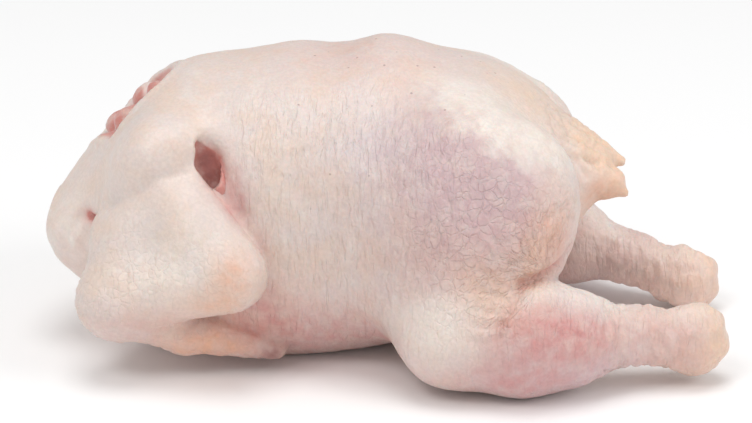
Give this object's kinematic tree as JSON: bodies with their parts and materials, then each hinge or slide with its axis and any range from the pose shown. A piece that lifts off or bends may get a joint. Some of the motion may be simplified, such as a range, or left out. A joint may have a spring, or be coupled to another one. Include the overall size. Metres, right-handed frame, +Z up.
{
  "type": "whole raw chicken",
  "caption": "Whole plucked raw chicken lying breast down, wings folded, legs stretched back, neck and feet removed.",
  "frame": {"origin": "on the surface the bird rests on, under the middle of its outline", "axes": "+X from the neck end to the tail and legs, +Y to the bird's right, +Z up out of its back"},
  "size_m": [0.2708, 0.168, 0.1227],
  "materials": {
    "skin": "raw poultry skin, pale pink and cream, slightly moist"
  },
  "bodies": {
    "root": {"chicken": "skin"}
  },
  "joints": []
}
